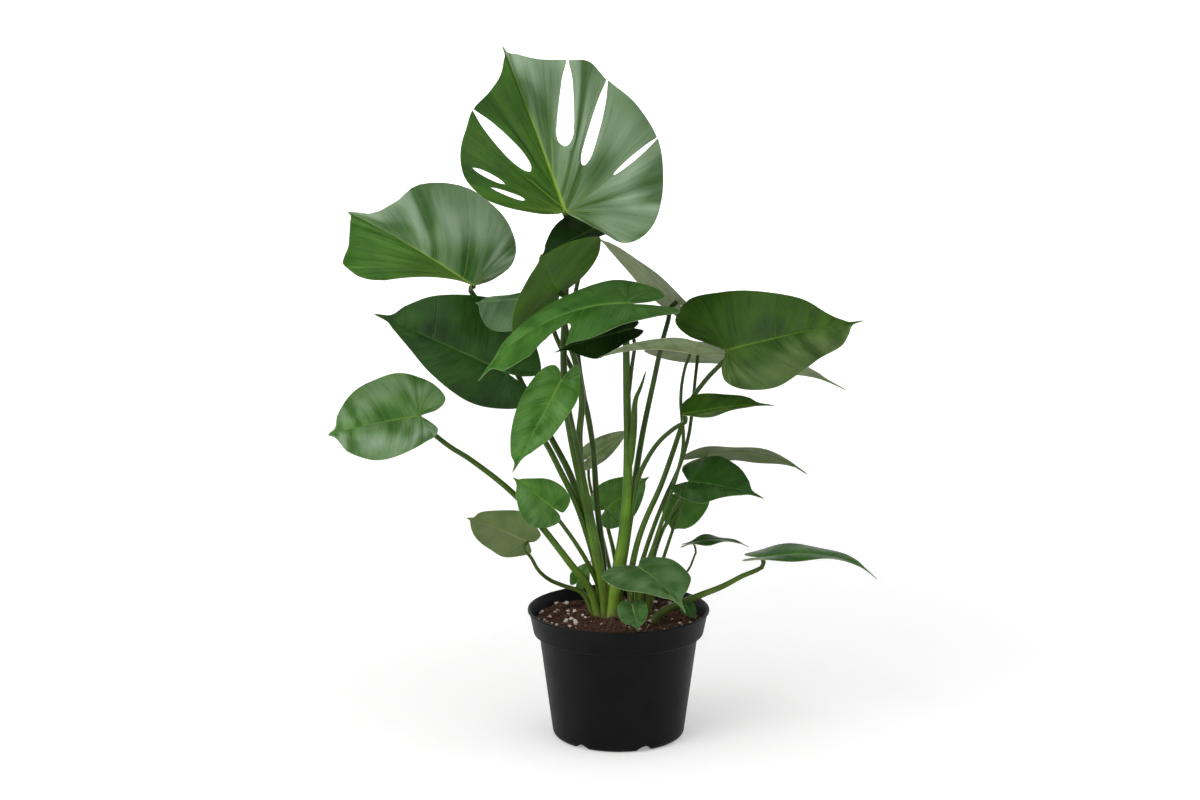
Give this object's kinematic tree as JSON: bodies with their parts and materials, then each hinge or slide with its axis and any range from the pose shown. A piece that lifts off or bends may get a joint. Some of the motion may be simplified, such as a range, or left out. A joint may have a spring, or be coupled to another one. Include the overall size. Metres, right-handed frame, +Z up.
{
  "type": "potted monstera plant",
  "caption": "Swiss cheese plant with split and holed heart-shaped leaves on long round stalks, growing in a round black nursery pot of dark potting mix.",
  "frame": {"origin": "centre of the flat underside of the pot, where it rests", "axes": "+Z up along the pot's axis, -Y toward the viewer of the picture, +X to the viewer's right"},
  "size_m": [0.5783, 0.2188, 0.7493],
  "materials": {
    "nursery_pot": "satin",
    "potting_mix": "matte",
    "leaf_stalk": "satin",
    "leaf_green": "satin",
    "leaf_dark": "satin",
    "leaf_pale": "satin"
  },
  "bodies": {
    "root": {"pot": "nursery_pot", "soil": "potting_mix", "stems_main": "leaf_stalk", "stems_right": "leaf_stalk", "stem_low_right": "leaf_stalk", "stems_front": "leaf_stalk", "stems_back": "leaf_stalk", "leaf_top": "leaf_green", "leaf_upper_left": "leaf_pale", "leaf_mid_left": "leaf_dark", "leaf_low_left": "leaf_green", "leaf_folded": "leaf_pale", "leaf_crown_dark": "leaf_dark", "leaf_cup": "leaf_pale", "leaf_under_top": "leaf_pale", "leaf_centre": "leaf_green", "leaf_right_big": "leaf_dark", "leaf_shade": "leaf_dark", "leaf_arched": "leaf_pale", "leaf_right_back": "leaf_pale", "leaf_front_centre": "leaf_green", "leaf_back_small": "leaf_dark", "leaf_round_left": "leaf_green", "leaf_olive_left": "leaf_pale", "leaf_round_back": "leaf_green", "leaf_right_flat": "leaf_green", "leaf_right_grey": "leaf_pale", "leaf_right_dark": "leaf_dark", "leaf_right_green": "leaf_pale", "leaf_right_thin": "leaf_dark", "leaf_low_right": "leaf_green", "leaf_front_rim": "leaf_green", "leaf_front_small": "leaf_green", "leaf_tiny_right": "leaf_dark", "leaf_tiny_left": "leaf_pale"}
  },
  "joints": []
}
